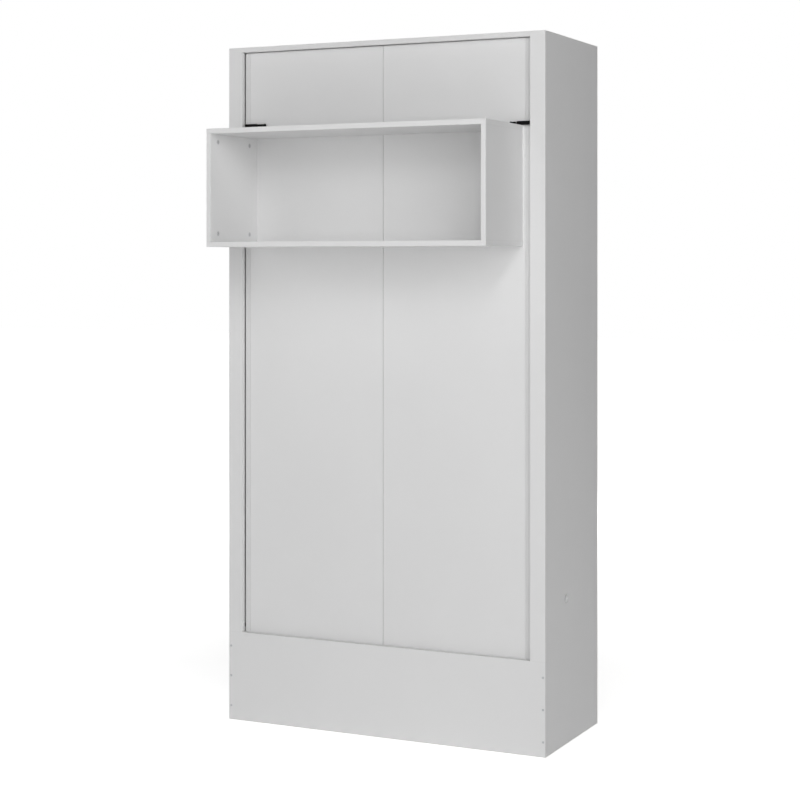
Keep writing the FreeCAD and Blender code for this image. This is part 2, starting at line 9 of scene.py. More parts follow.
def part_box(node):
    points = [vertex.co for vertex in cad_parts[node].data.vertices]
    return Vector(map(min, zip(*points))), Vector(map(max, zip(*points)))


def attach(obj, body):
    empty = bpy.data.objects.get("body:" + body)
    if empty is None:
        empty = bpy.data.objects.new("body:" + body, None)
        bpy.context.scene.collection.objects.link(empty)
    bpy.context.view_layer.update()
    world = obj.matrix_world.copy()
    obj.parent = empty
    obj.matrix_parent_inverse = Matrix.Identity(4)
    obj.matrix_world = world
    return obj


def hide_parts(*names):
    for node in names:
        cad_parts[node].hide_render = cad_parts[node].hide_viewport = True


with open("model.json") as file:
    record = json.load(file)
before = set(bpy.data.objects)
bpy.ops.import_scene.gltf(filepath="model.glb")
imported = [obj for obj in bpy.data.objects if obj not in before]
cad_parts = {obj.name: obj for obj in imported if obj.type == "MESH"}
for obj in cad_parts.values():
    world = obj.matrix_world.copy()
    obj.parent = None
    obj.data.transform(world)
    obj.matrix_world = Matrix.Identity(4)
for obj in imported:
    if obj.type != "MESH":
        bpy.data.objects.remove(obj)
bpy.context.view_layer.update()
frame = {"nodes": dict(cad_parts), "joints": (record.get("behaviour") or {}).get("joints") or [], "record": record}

NODES = frame["nodes"]
SLOT_OF = {part["node"]: part["material_slot"] for part in frame["record"]["subparts"]}
JOINTS = {joint["name"]: joint for joint in frame["joints"]}
SCENE = bpy.context.scene

MM = 0.001
SIDES = {"left": -1, "right": 1}

# ---- places taken from the frame ---------------------------------------------

FRONT_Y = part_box("plinth_board")[0].y      # front of the cabinet
RAIL_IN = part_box("bed_rail_right")[0].x    # inner face of the right bed rail


# ---- small mesh tools --------------------------------------------------------

def new_object(name, data):
    obj = bpy.data.objects.new(name, data)
    SCENE.collection.objects.link(obj)
    return obj


def object_from_bmesh(name, bm, sharp_angle=35.0):
    bmesh.ops.recalc_face_normals(bm, faces=bm.faces)
    mesh = bpy.data.meshes.new(name)
    bm.to_mesh(mesh)
    bm.free()
    for face in mesh.polygons:
        face.use_smooth = True
    mesh.set_sharp_from_angle(angle=math.radians(sharp_angle))
    return new_object(name, mesh)


def add_piece(name, bm, material, body, replaced=()):
    """A finished piece: meshed, dressed, and riding on its body."""
    piece = object_from_bmesh(name, bm)
    piece.data.materials.append(material)
    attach(piece, body)
    if replaced:
        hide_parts(*replaced)
    return piece


def facing(centre, axis, spin=0.0):
    """The placement whose local Z runs along axis, turned by spin about it."""
    turn = Vector((0, 0, 1)).rotation_difference(Vector(axis)).to_matrix().to_4x4()
    return Matrix.Translation(centre) @ turn @ Matrix.Rotation(spin, 4, "Z")


def add_rings(bm, rings, closed_round=False):
    """Skin over rings of points. A ring of one point is a tip; closed_round joins last to first."""
    made = [[bm.verts.new(point) for point in ring] for ring in rings]
    if closed_round:
        made.append(made[0])
    for first, second in zip(made, made[1:]):
        count = max(len(first), len(second))
        for step in range(count):
            after = (step + 1) % count
            if len(first) == 1:
                bm.faces.new((first[0], second[step], second[after]))
            elif len(second) == 1:
                bm.faces.new((first[step], second[0], first[after]))
            else:
                bm.faces.new((first[step], second[step], second[after], first[after]))


def add_lathe(bm, profile, place, segments=32, closed_round=False):
    """A turned shape: profile is (distance along local Z, radius)."""
    rings = []
    for along, radius in profile:
        turns = [math.tau * step / segments for step in range(segments)] if radius else [0.0]
        rings.append([place @ Vector((radius * math.cos(t), radius * math.sin(t), along)) for t in turns])
    add_rings(bm, rings, closed_round)


def rounded_outline(half_a, half_b, radius, steps=4):
    """Points round a rectangle with rounded corners, anticlockwise from the right side."""
    points = []
    for corner, (sign_a, sign_b) in enumerate(((1, 1), (-1, 1), (-1, -1), (1, -1))):
        for step in range(steps + 1):
            turn = math.pi / 2 * (corner + step / steps)
            a = sign_a * (half_a - radius) + radius * math.cos(turn)
            b = sign_b * (half_b - radius) + radius * math.sin(turn)
            points.append((a, b))
    return points


SCREW_SUNK = 0.3 * MM        # how far a screw head reaches into the surface it stands on
CROSS_HALF_WIDTH = 0.15      # of the screw head's radius
CROSS_HALF_LENGTH = 0.56


def cross_angles():
    """Angles round a screw head that catch every corner of its cross recess."""
    corner = math.atan(CROSS_HALF_WIDTH / CROSS_HALF_LENGTH)
    between = (corner + math.pi / 4) / 2
    quarter = [0.0, corner, between, math.pi / 4, math.pi / 2 - between, math.pi / 2 - corner]
    return [turn + math.pi / 2 * arm for arm in range(4) for turn in quarter]


def cross_reach(angle):
    """How far the cross recess reaches at an angle, as a share of the head's radius."""
    folded = abs((angle + math.pi / 4) % (math.pi / 2) - math.pi / 4)
    if math.tan(folded) <= CROSS_HALF_WIDTH / CROSS_HALF_LENGTH + 1e-9:
        return CROSS_HALF_LENGTH / math.cos(folded)
    return CROSS_HALF_WIDTH / math.sin(folded)


def add_screw_head(bm, centre, axis, radius, height, spin):
    """A domed screw head with a cross recess, standing on the surface at centre."""
    place = facing(centre, axis, spin)
    angles = cross_angles()

    def ring(height_at, reach):
        return [place @ Vector((reach(t) * math.cos(t), reach(t) * math.sin(t), height_at)) for t in angles]

    dome = ((0.15, 1.0), (0.55, 0.93), (0.85, 0.80), (1.0, 0.66))
    rings = [[place @ Vector((0, 0, -SCREW_SUNK))], ring(-SCREW_SUNK, lambda t: radius)]
    for level, share in dome:
        rings.append(ring(height * level, lambda t, share=share: radius * share))
    rings.append(ring(height * 1.02, lambda t: radius * cross_reach(t)))
    rings.append(ring(height * 0.1, lambda t: radius * cross_reach(t) * 0.8))
    rings.append([place @ Vector((0, 0, 0))])
    add_rings(bm, rings)


def add_band(bm, path, across, width, thickness):
    """A flat woven band along path; across is the direction of its width."""
    outline = rounded_outline(width / 2, thickness / 2, thickness * 0.45, 3)
    across = Vector(across)
    rings = []
    for index, point in enumerate(path):
        ahead = path[min(index + 1, len(path) - 1)]
        behind = path[max(index - 1, 0)]
        out = across.cross((ahead - behind).normalized())
        rings.append([point + across * a + out * b for a, b in outline])
    add_rings(bm, [[path[0]]] + rings + [[path[-1]]])


# ---- material tools ----------------------------------------------------------

class Shader:
    """A material being built: short names for the nodes that every material uses."""

    def __init__(self, name):
        self.material = bpy.data.materials.new(name)
        self.material.use_nodes = True
        self.tree = self.material.node_tree
        self.surface = self.tree.nodes["Principled BSDF"]
        self.coords = self.tree.nodes.new("ShaderNodeTexCoord").outputs["Object"]

    def put(self, socket, value):
        if isinstance(value, bpy.types.NodeSocket):
            self.tree.links.new(value, socket)
        elif isinstance(value, tuple) and len(value) == 3 and socket.type == "RGBA":
            socket.default_value = (*value, 1.0)
        else:
            socket.default_value = value

    def set(self, name, value):
        self.put(self.surface.inputs[name], value)

    def math(self, operation, *values):
        node = self.tree.nodes.new("ShaderNodeMath")
        node.operation = operation
        for socket, value in zip(node.inputs, values):
            self.put(socket, value)
        return node.outputs[0]

    def plus(self, first, second):
        return self.math("ADD", first, second)

    def minus(self, first, second):
        return self.math("SUBTRACT", first, second)

    def times(self, first, second):
        return self.math("MULTIPLY", first, second)

    def stretched(self, scale, offset=(0, 0, 0)):
        node = self.tree.nodes.new("ShaderNodeMapping")
        self.put(node.inputs["Vector"], self.coords)
        self.put(node.inputs["Scale"], scale)
        self.put(node.inputs["Location"], offset)
        return node.outputs[0]

    def noise(self, scale, detail=3.0, roughness=0.5, vector=None, distortion=0.0):
        node = self.tree.nodes.new("ShaderNodeTexNoise")
        self.put(node.inputs["Vector"], vector or self.coords)
        self.put(node.inputs["Scale"], scale)
        self.put(node.inputs["Detail"], detail)
        self.put(node.inputs["Roughness"], roughness)
        self.put(node.inputs["Distortion"], distortion)
        return node.outputs["Fac"]

    def cells(self, scale, output="Distance", vector=None):
        node = self.tree.nodes.new("ShaderNodeTexVoronoi")
        self.put(node.inputs["Vector"], vector or self.coords)
        self.put(node.inputs["Scale"], scale)
        return node.outputs[output]

    def waves(self, scale, direction, vector=None, distortion=0.0, detail_scale=1.0):
        node = self.tree.nodes.new("ShaderNodeTexWave")
        node.bands_direction = direction
        self.put(node.inputs["Vector"], vector or self.coords)
        self.put(node.inputs["Scale"], scale)
        self.put(node.inputs["Distortion"], distortion)
        self.put(node.inputs["Detail Scale"], detail_scale)
        return node.outputs["Fac"]

    def remap(self, value, low, high, to_low=0.0, to_high=1.0):
        node = self.tree.nodes.new("ShaderNodeMapRange")
        for name, given in (("Value", value), ("From Min", low), ("From Max", high)):
            self.put(node.inputs[name], given)
        self.put(node.inputs["To Min"], to_low)
        self.put(node.inputs["To Max"], to_high)
        return node.outputs["Result"]

    def blend(self, share, first, second):
        node = self.tree.nodes.new("ShaderNodeMix")
        node.data_type = "RGBA"
        self.put(node.inputs["Factor"], share)
        self.put(node.inputs[6], first)
        self.put(node.inputs[7], second)
        return node.outputs[2]

    def bump(self, height, strength, distance, after=None):
        node = self.tree.nodes.new("ShaderNodeBump")
        self.put(node.inputs["Strength"], strength)
        self.put(node.inputs["Distance"], distance)
        self.put(node.inputs["Height"], height)
        if after is not None:
            self.put(node.inputs["Normal"], after)
        return node.outputs["Normal"]

    def axes(self):
        split = self.tree.nodes.new("ShaderNodeSeparateXYZ")
        self.put(split.inputs[0], self.coords)
        return split.outputs

    def edge_distance(self, low, high):
        """Distance from a point on a board's face to that face's nearest edge, in metres."""
        inset = []
        for axis, along in enumerate(self.axes()):
            from_middle = self.math("ABSOLUTE", self.minus(along, (low[axis] + high[axis]) / 2))
            inset.append(self.minus((high[axis] - low[axis]) / 2, from_middle))
        smaller = self.math("MINIMUM", inset[0], inset[1])
        larger = self.math("MAXIMUM", inset[0], inset[1])
        return self.math("MAXIMUM", smaller, self.math("MINIMUM", larger, inset[2]))

    def on_faces(self, low, high, faces, skin):
        """1 within skin of the named faces of a board, each given as (axis, end)."""
        share = 0.0
        along = self.axes()
        for axis, end in faces:
            if end > 0:
                near = self.math("GREATER_THAN", along[axis], high[axis] - skin)
            else:
                near = self.math("LESS_THAN", along[axis], low[axis] + skin)
            share = self.math("MAXIMUM", share, near)
        return share


# ---- materials, one function each --------------------------------------------

BOARD_WHITE = (0.800, 0.800, 0.800)
BOARD_SHADE = (0.782, 0.782, 0.783)
RAIL_BAND = 0.94             # the bed rails are a little greyer than the panels
BAND_LINE = (0.62, 0.62, 0.622)
BAND_THICKNESS = 0.9 * MM
RAW_SKIN = 0.3 * MM
Y_AXIS, Z_AXIS = 1, 2

# Edges left as bare chipboard: they stand on the floor, lie against the wall or face down, out of sight.
BARE_EDGES = {
    "side_panel_left": ((Y_AXIS, 1), (Z_AXIS, -1)),
    "side_panel_right": ((Y_AXIS, 1), (Z_AXIS, -1)),
    "top_panel": ((Y_AXIS, 1),),
    "plinth_board": ((Z_AXIS, -1),),
    "front_stretcher": ((Z_AXIS, -1),),
    "bottom_rear_rail": ((Z_AXIS, -1),),
    "headboard_panel": ((Z_AXIS, -1),),
    "top_rear_rail": ((Z_AXIS, -1),),
    "door_panel_left": ((Z_AXIS, -1),),
    "door_panel_right": ((Z_AXIS, -1),),
}


def white_board(name, low, high, tone):
    """White melamine: faint cloudiness, fine emboss, a hairline where the edge band ends."""
    shader = Shader("white_board_" + name)
    cloud = shader.noise(2.3, 4.0, 0.55, shader.stretched((1, 1, 1), (tone * 7.0, tone * 3.0, 0)))
    colour = shader.blend(shader.remap(cloud, 0.3, 0.7), BOARD_SHADE, BOARD_WHITE)
    edge = shader.edge_distance(low, high)
    off_line = shader.math("ABSOLUTE", shader.minus(edge, BAND_THICKNESS))
    line = shader.remap(off_line, 0.0, 0.3 * MM, 0.5, 0.0)
    colour = shader.blend(line, colour, BAND_LINE)
    scuff = shader.noise(55.0, 6.0, 0.7)
    near_edge = shader.remap(edge, 0.0, 5 * MM, 1.0, 0.0)
    worn = shader.times(near_edge, shader.remap(scuff, 0.52, 0.72))
    colour = shader.blend(shader.times(worn, 0.2), colour, (0.70, 0.695, 0.685))
    emboss = shader.noise(900.0, 2.0, 0.6)
    rough = shader.plus(shader.remap(emboss, 0.3, 0.7, 0.42, 0.52), shader.times(worn, 0.15))
    height = emboss
    if name in BARE_EDGES:
        bare = shader.on_faces(low, high, BARE_EDGES[name], RAW_SKIN)
        chips = shader.cells(420.0, "Color")
        dust = shader.noise(1500.0, 4.0, 0.7)
        chip_share = shader.plus(shader.times(chips, 0.6), shader.times(dust, 0.4))
        wood = shader.blend(chip_share, (0.40, 0.28, 0.16), (0.74, 0.61, 0.44))
        colour = shader.blend(bare, colour, wood)
        rough = shader.plus(rough, shader.times(bare, 0.4))
        height = shader.plus(emboss, shader.times(shader.times(bare, dust), 6.0))
    if name.startswith("bed_rail"):
        colour = shader.blend(1.0 - RAIL_BAND, colour, (0, 0, 0))
    shader.set("Base Color", colour)
    shader.set("Roughness", rough)
    shader.set("IOR", 1.45)
    wavy = shader.bump(shader.noise(38.0, 2.0, 0.5), 0.06, 0.4 * MM)
    shader.set("Normal", shader.bump(height, 0.12, 0.05 * MM, wavy))
    return shader.material


def slat_timber(name, low, high, tone):
    """Planed pine: growth rings stretched along the board, a few knots, rubbed edges."""
    size = high - low
    long_axis = max(range(3), key=lambda axis: size[axis])
    along = [16.0, 16.0, 16.0]
    along[long_axis] = 1.1
    shader = Shader("slat_timber_" + name)
    place = (tone * 11.0, tone * 5.0, tone * 17.0)
    grain_space = shader.stretched(along, place)
    warp = shader.noise(0.9, 3.0, 0.5, grain_space)
    rings = shader.noise(3.2, 7.0, 0.62, grain_space, distortion=1.3)
    lines = shader.waves(2.4, "DIAGONAL", grain_space, distortion=7.0, detail_scale=1.4)
    grain = shader.times(shader.plus(rings, lines), 0.5)
    colour = shader.blend(shader.remap(grain, 0.25, 0.75), (0.60, 0.41, 0.23), (0.80, 0.63, 0.42))
    colour = shader.blend(shader.remap(warp, 0.35, 0.7, 0.0, 0.35), colour, (0.70, 0.50, 0.30))
    knot_scale = [9.0, 9.0, 9.0]
    knot_scale[long_axis] = 2.6
    knots = shader.cells(1.0, vector=shader.stretched(knot_scale, place))
    knot = shader.remap(knots, 0.05, 0.13, 0.75, 0.0)
    colour = shader.blend(knot, colour, (0.27, 0.13, 0.055))
    rubbed = shader.remap(shader.edge_distance(low, high), 0.0, 4 * MM, 0.30, 0.0)
    shader.set("Base Color", shader.blend(rubbed, colour, (0.86, 0.73, 0.55)))
    shader.set("Roughness", shader.remap(grain, 0.2, 0.8, 0.72, 0.55))
    fibres = shader.noise(60.0, 4.0, 0.7, grain_space)
    shader.set("Normal", shader.bump(fibres, 0.25, 0.15 * MM, shader.bump(grain, 0.25, 0.4 * MM)))
    return shader.material


def dowel_wood():
    """Fluted beech: fine straight grain along the dowel."""
    shader = Shader("dowel_wood")
    grain = shader.noise(9.0, 5.0, 0.6, shader.stretched((20, 2, 20)))
    shader.set("Base Color", shader.blend(grain, (0.55, 0.36, 0.20), (0.78, 0.60, 0.40)))
    shader.set("Roughness", shader.remap(grain, 0.3, 0.7, 0.6, 0.75))
    shader.set("Normal", shader.bump(grain, 0.3, 0.2 * MM))
    return shader.material


def metal(name, dark, light, rough_low, rough_high, grain_scale, grain_bump):
    """Metal with mottled plating, fine grain and darker, rougher patches."""
    shader = Shader(name)
    patches = shader.noise(26.0, 5.0, 0.6)
    grain = shader.noise(1.0, 3.0, 0.6, shader.stretched(grain_scale))
    mottle = shader.times(shader.plus(patches, grain), 0.5)
    shader.set("Base Color", shader.blend(shader.remap(mottle, 0.35, 0.65), dark, light))
    shader.set("Metallic", 1.0)
    shader.set("Roughness", shader.remap(patches, 0.3, 0.7, rough_high, rough_low))
    shader.set("Normal", shader.bump(grain, grain_bump, 0.05 * MM))
    return shader.material


def black_finish(name, colour, worn_colour, rough):
    """Black finish on steel: fine texture and a little wear."""
    shader = Shader(name)
    speck = shader.noise(1400.0, 2.0, 0.6)
    rub = shader.noise(90.0, 6.0, 0.7)
    shader.set("Base Color", shader.blend(shader.remap(rub, 0.60, 0.78, 0.0, 0.5), colour, worn_colour))
    shader.set("Roughness", shader.remap(rub, 0.3, 0.7, rough, rough + 0.14))
    shader.set("Specular IOR Level", 0.15)
    shader.set("Normal", shader.bump(speck, 0.25, 0.05 * MM))
    return shader.material


def plastic(name, dark, light, rough):
    """Moulded plastic: faint clouding and a fine sparked texture."""
    shader = Shader(name)
    cloud = shader.noise(120.0, 4.0, 0.6)
    shader.set("Base Color", shader.blend(shader.remap(cloud, 0.3, 0.7), dark, light))
    shader.set("Roughness", shader.remap(cloud, 0.3, 0.7, rough, rough + 0.1))
    shader.set("Normal", shader.bump(shader.noise(1800.0, 2.0, 0.5), 0.12, 0.04 * MM))
    return shader.material


def webbing_weave():
    """Black woven webbing: cross ribs, warp lines and a little fuzz."""
    shader = Shader("webbing_weave")
    ribs = shader.waves(95.0, "X", distortion=0.4)
    warps = shader.waves(190.0, "Z", distortion=0.3)
    weave = shader.times(ribs, warps)
    fuzz = shader.noise(700.0, 4.0, 0.7)
    colour = shader.blend(weave, (0.018, 0.018, 0.020), (0.085, 0.085, 0.092))
    fuzzy = shader.remap(fuzz, 0.4, 0.8, 0.0, 0.35)
    shader.set("Base Color", shader.blend(fuzzy, colour, (0.14, 0.14, 0.15)))
    shader.set("Roughness", shader.remap(weave, 0.0, 1.0, 0.95, 0.78))
    shader.set("Sheen Weight", 0.25)
    shader.set("Normal", shader.bump(weave, 0.6, 0.35 * MM))
    return shader.material


def thread():
    """Grey twisted thread."""
    shader = Shader("stitching_thread")
    twist = shader.waves(900.0, "DIAGONAL")
    shader.set("Base Color", shader.blend(twist, (0.30, 0.30, 0.31), (0.62, 0.62, 0.63)))
    shader.set("Roughness", shader.remap(twist, 0.0, 1.0, 0.85, 0.7))
    shader.set("Normal", shader.bump(twist, 0.4, 0.1 * MM))
    return shader.material


ZINC = metal("zinc_steel", (0.50, 0.51, 0.53), (0.70, 0.71, 0.73), 0.30, 0.46, (160, 900, 160), 0.25)
CAST_ZINC = metal("cam_metal", (0.52, 0.52, 0.53), (0.72, 0.72, 0.73), 0.36, 0.52, (700, 700, 700), 0.35)
CHROME = metal("strut_chrome", (0.66, 0.67, 0.69), (0.80, 0.81, 0.83), 0.08, 0.16, (60, 400, 400), 0.08)
STRUT_BLACK = black_finish("strut_black", (0.012, 0.012, 0.013), (0.05, 0.05, 0.052), 0.38)
LATCH_BLACK = black_finish("latch_black", (0.003, 0.003, 0.0035), (0.012, 0.012, 0.012), 0.55)
NYLON = plastic("nylon", (0.74, 0.73, 0.68), (0.84, 0.83, 0.79), 0.42)
WHITE_PLASTIC = plastic("white_plastic", (0.77, 0.77, 0.775), (0.82, 0.82, 0.825), 0.40)
BLACK_PLASTIC = plastic("black_plastic", (0.016, 0.016, 0.017), (0.030, 0.030, 0.032), 0.45)
WEBBING = webbing_weave()
THREAD = thread()

SHARED = {
    "zinc_steel": ZINC,
    "cam_metal": CAST_ZINC,
    "strut_chrome": CHROME,
    "strut_black": STRUT_BLACK,
    "latch_black": LATCH_BLACK,
    "nylon": NYLON,
    "white_plastic": WHITE_PLASTIC,
    "webbing": WEBBING,
    "dowel_wood": dowel_wood(),
}
PER_BOARD = {"white_board": white_board, "slat_timber": slat_timber}
EDGE_RADIUS = {"white_board": 0.6 * MM, "slat_timber": 1.5 * MM}
FINE_EDGE = 0.25 * MM
BANDED = ("door_panel", "bed_rail", "shelf_")     # boards with thick, rounded edge bands
BANDED_RADIUS = 1.0 * MM
DOOR_RADIUS = 1.25 * MM      # door panels, rounder along the seam


def edge_radius(name, slot):
    """How far the edges of a CAD node are rounded."""
    if name.startswith("door_panel"):
        return DOOR_RADIUS
    if slot == "white_board" and name.startswith(BANDED):
        return BANDED_RADIUS
    return EDGE_RADIUS.get(slot, FINE_EDGE)


def dress_node(name, obj, tone):
    """Gives a CAD node its material and slightly eased edges."""
    slot = SLOT_OF[name]
    if slot in PER_BOARD:
        low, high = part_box(name)
        material = PER_BOARD[slot](name, low, high, tone)
    else:
        material = SHARED[slot]
    obj.data.materials.clear()
    obj.data.materials.append(material)
    weld = obj.modifiers.new("weld", "WELD")
    weld.merge_threshold = 0.01 * MM
    flat = obj.modifiers.new("flat_faces", "DECIMATE")
    flat.decimate_type = "DISSOLVE"
    flat.angle_limit = math.radians(0.5)
    bevel = obj.modifiers.new("edge", "BEVEL")
    bevel.width = edge_radius(name, slot)
    bevel.segments = 2
    bevel.limit_method = "ANGLE"
    bevel.angle_limit = math.radians(30)
    normals = obj.modifiers.new("normals", "WEIGHTED_NORMAL")
    normals.weight = 100
    normals.thresh = 0.0
    normals.keep_sharp = False


GOLDEN = 0.618034            # steps of this share spread the boards' tones evenly
for order, node_name in enumerate(sorted(NODES)):
    dress_node(node_name, NODES[node_name], (order * GOLDEN) % 1.0)


# ---- screws ------------------------------------------------------------------

WOOD_SCREW = (4.0 * MM, 1.6 * MM)        # radius and height of the head
SCREW_TURN = 2.4                         # radians from each head of a row to the next
SLAT_SCREW_INSET = 13 * MM               # from the slat's end
SLAT_SCREW_STEP = 25 * MM                # from the middle of the slat's width
LEDGE_SCREWS = 8                         # in each ledge
LEDGE_SCREW_FORWARD = 4 * MM             # from the middle of the ledge
BATTEN_SCREWS = 9                        # in each half of the batten
BRACKET_SCREW_STEPS = (22 * MM, 46 * MM)     # from the bracket's corner
BRACKET_THICKNESS = 3 * MM
BRACKET_TURN = {"rail": 900, "end": 700}     # radians per metre, so that no two crosses line up


def spread(low, high, count):
    """Places spaced evenly between two ends, half a step in from each."""
    return [low + (high - low) * (index + 0.5) / count for index in range(count)]


def add_screw_row(name, places, axis_of):
    """One piece with a screw head at each place; axis_of says which way each one faces."""
    bm = bmesh.new()
    for index, place in enumerate(places):
        add_screw_head(bm, place, axis_of(place), *WOOD_SCREW, spin=index * SCREW_TURN)
    add_piece(name, bm, ZINC, "bed")


def slat_screw_places():
    places = []
    for name in sorted(NODES):
        if name.startswith("slat_") and not name.startswith("slat_ledge"):
            low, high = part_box(name)
            middle = (low.z + high.z) / 2
            for x in (low.x + SLAT_SCREW_INSET, high.x - SLAT_SCREW_INSET):
                for step in (-SLAT_SCREW_STEP, SLAT_SCREW_STEP):
                    places.append(Vector((x, high.y, middle + step)))
    return places


def ledge_screw_places():
    low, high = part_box("slat_ledge_right")
    middle = (low.y + high.y) / 2 - LEDGE_SCREW_FORWARD
    heights = spread(low.z, high.z, LEDGE_SCREWS)
    return [Vector((side * low.x, middle, z)) for side in SIDES.values() for z in heights]


def batten_screw_places():
    low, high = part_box("seam_batten")
    offset = (high.x - low.x) / 4
    heights = spread(low.z, high.z, BATTEN_SCREWS)
    return [Vector((side * offset, high.y, z)) for side in SIDES.values() for z in heights]


def bracket_screws():
    """Two screws in each leg of the four corner brackets."""
    low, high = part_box("corner_brackets")
    middle = (low.y + high.y) / 2
    bm = bmesh.new()
    for side in SIDES.values():
        for end, up in ((low.z, 1), (high.z, -1)):
            for step in BRACKET_SCREW_STEPS:
                on_rail = Vector((side * (high.x - BRACKET_THICKNESS), middle, end + up * step))
                add_screw_head(bm, on_rail, (-side, 0, 0), *WOOD_SCREW, spin=step * BRACKET_TURN["rail"])
                on_end = Vector((side * (high.x - step), middle, end + up * BRACKET_THICKNESS))
                add_screw_head(bm, on_end, (0, 0, up), *WOOD_SCREW, spin=step * BRACKET_TURN["end"])
    add_piece("corner_bracket_screws", bm, ZINC, "bed")


add_screw_row("slat_screws", slat_screw_places(), lambda place: (0, 1, 0))
add_screw_row("ledge_screws", ledge_screw_places(), lambda place: (-math.copysign(1, place.x), 0, 0))
add_screw_row("batten_screws", batten_screw_places(), lambda place: (0, 1, 0))
bracket_screws()


# ---- mattress straps ---------------------------------------------------------

STRAP_TAB = 46 * MM          # end folded back against the rail
STRAP_OFF_RAIL = 0.2 * MM
STRAP_BEND = 4 * MM
STRAP_SAG = 7 * MM
STRAP_THICKNESS = 1.7 * MM
TAB_STEPS, BEND_STEPS, SPAN_STEPS = 8, 6, 240
SLIDER_FROM_MIDDLE = 250 * MM
SLIDER_PITCH = 11 * MM       # from one bar of the slider to the next
SLIDER_RISE = 2.4 * MM       # of the band over the slider's middle bar
SLIDER_BAR = 1.7 * MM        # radius of the slider's outer bars
SLIDER_MARGIN = 4 * MM       # of the slider beyond the band's edges
SLIDER_CORNER = 4 * MM
ANCHOR_STEP = 10 * MM        # of each anchor screw from the band's middle
ANCHOR_DROP = 6 * MM         # of the anchor screws from the middle of the tab, towards its free end
ANCHOR_TURN = 100            # of the crosses, in radians per metre
WASHER_RADIUS = 9 * MM
WASHER = 1.4 * MM            # thickness
ANCHOR_SCREW = (5.5 * MM, 2.4 * MM)
STITCH = 2.6 * MM
STITCH_GAP = 1.3 * MM
STITCH_RADIUS = 0.35 * MM
STITCH_RAISED = 0.15 * MM    # above the band's face
STITCH_BOX = (26 * MM, 28 * MM)
STITCHES_FROM_MIDDLE = SLIDER_FROM_MIDDLE + 60 * MM


def slider_weave(x):
    """How far the band rises and dips as it threads the slider."""
    off = (x - SLIDER_FROM_MIDDLE) / SLIDER_PITCH
    if abs(off) > 2:
        return 0.0
    return SLIDER_RISE * math.cos(math.pi * off) * (1 + math.cos(math.pi * off / 2)) / 2


def strap_sag(x, reach):
    """How far the band hangs below its ends, where reach is half of its free length."""
    return STRAP_SAG * (1 - (x / reach) ** 2)


def strap_route(low, high):
    """Centreline of one strap: tab on the left rail, bend, span, bend, tab on the right rail."""
    face = RAIL_IN - STRAP_THICKNESS / 2 - STRAP_OFF_RAIL
    back = (low.y + high.y) / 2
    middle = (low.z + high.z) / 2
    tab = []
    for step in range(TAB_STEPS - 1):
        tab.append(Vector((face, back - STRAP_TAB + STRAP_TAB * step / TAB_STEPS, middle)))
    bend = []
    for step in range(BEND_STEPS + 1):
        turn = math.pi / 2 * step / BEND_STEPS
        x = face - STRAP_BEND * (1 - math.cos(turn))
        bend.append(Vector((x, back - STRAP_BEND + STRAP_BEND * math.sin(turn), middle)))
    right = tab + bend
    left = [Vector((-point.x, point.y, point.z)) for point in right]
    reach = face - STRAP_BEND
    span = []
    for step in range(1, SPAN_STEPS):
        x = -reach + 2 * reach * step / SPAN_STEPS
        span.append(Vector((x, back + slider_weave(x), middle - strap_sag(x, reach))))
    return left + span + right[::-1]


def add_dash(bm, start, end, radius):
    """One stitch: a short thread, thickest in its middle."""
    along = end - start
    profile = [(0, 0), (along.length * 0.12, radius * 0.7), (along.length / 2, radius)]
    profile += [(along.length * 0.88, radius * 0.7), (along.length, 0)]
    add_lathe(bm, profile, facing(start, along), 6)


def add_stitch_box(bm, centre, sideways, upwards, out):
    """A sewn box with a cross in it, lying on the band at centre."""
    half_a = Vector(sideways) * STITCH_BOX[0] / 2
    half_b = Vector(upwards) * STITCH_BOX[1] / 2
    middle = centre + Vector(out) * (STRAP_THICKNESS / 2 + STITCH_RAISED)
    corners = [middle + half_a * a + half_b * b for a, b in ((-1, -1), (1, -1), (1, 1), (-1, 1))]
    lines = [(corners[i], corners[(i + 1) % 4]) for i in range(4)]
    lines += [(corners[0], corners[2]), (corners[1], corners[3])]
    for start, end in lines:
        length = (end - start).length
        count = int(length / (STITCH + STITCH_GAP))
        step = (end - start) / count
        for index in range(count):
            first = start + step * index
            add_dash(bm, first, first + step * (STITCH / (STITCH + STITCH_GAP)), STITCH_RADIUS)


def add_slider(bm, centre, width):
    """A three-bar slider: two outer bars, a middle bar and two side bars."""
    half = width / 2 + SLIDER_MARGIN
    outline = rounded_outline(half, SLIDER_PITCH * 1.15, SLIDER_CORNER, 4)
    rings = []
    count = len(outline)
    segments = 10
    for index, (z, x) in enumerate(outline):
        ahead = Vector(outline[(index + 1) % count])
        behind = Vector(outline[index - 1])
        along = (ahead - behind).normalized()
        out = Vector((-along.x, 0, along.y))
        ring = []
        for step in range(segments):
            turn = math.tau * step / segments
            spot = Vector((x, 0, z)) + out * SLIDER_BAR * math.cos(turn)
            spot += Vector((0, 1, 0)) * SLIDER_BAR * math.sin(turn)
            ring.append(centre + spot)
        rings.append(ring)
    add_rings(bm, rings, closed_round=True)
    middle_bar = [(0, 0), (0, SLIDER_BAR * 0.9), (2 * half, SLIDER_BAR * 0.9), (2 * half, 0)]
    add_lathe(bm, middle_bar, facing(centre - Vector((0, 0, half)), (0, 0, 1)), 12)


def add_anchor(bm, place, side, spin):
    """A washer and a screw that hold the strap's tab to the bed rail."""
    disc = [(-0.1 * MM, 0), (-0.1 * MM, WASHER_RADIUS), (WASHER * 0.7, WASHER_RADIUS)]
    disc += [(WASHER, WASHER_RADIUS * 0.93), (WASHER, 0)]
    add_lathe(bm, disc, facing(place, (-side, 0, 0)), 28)
    top = place - Vector((side * WASHER, 0, 0))
    add_screw_head(bm, top, (-side, 0, 0), *ANCHOR_SCREW, spin=spin)


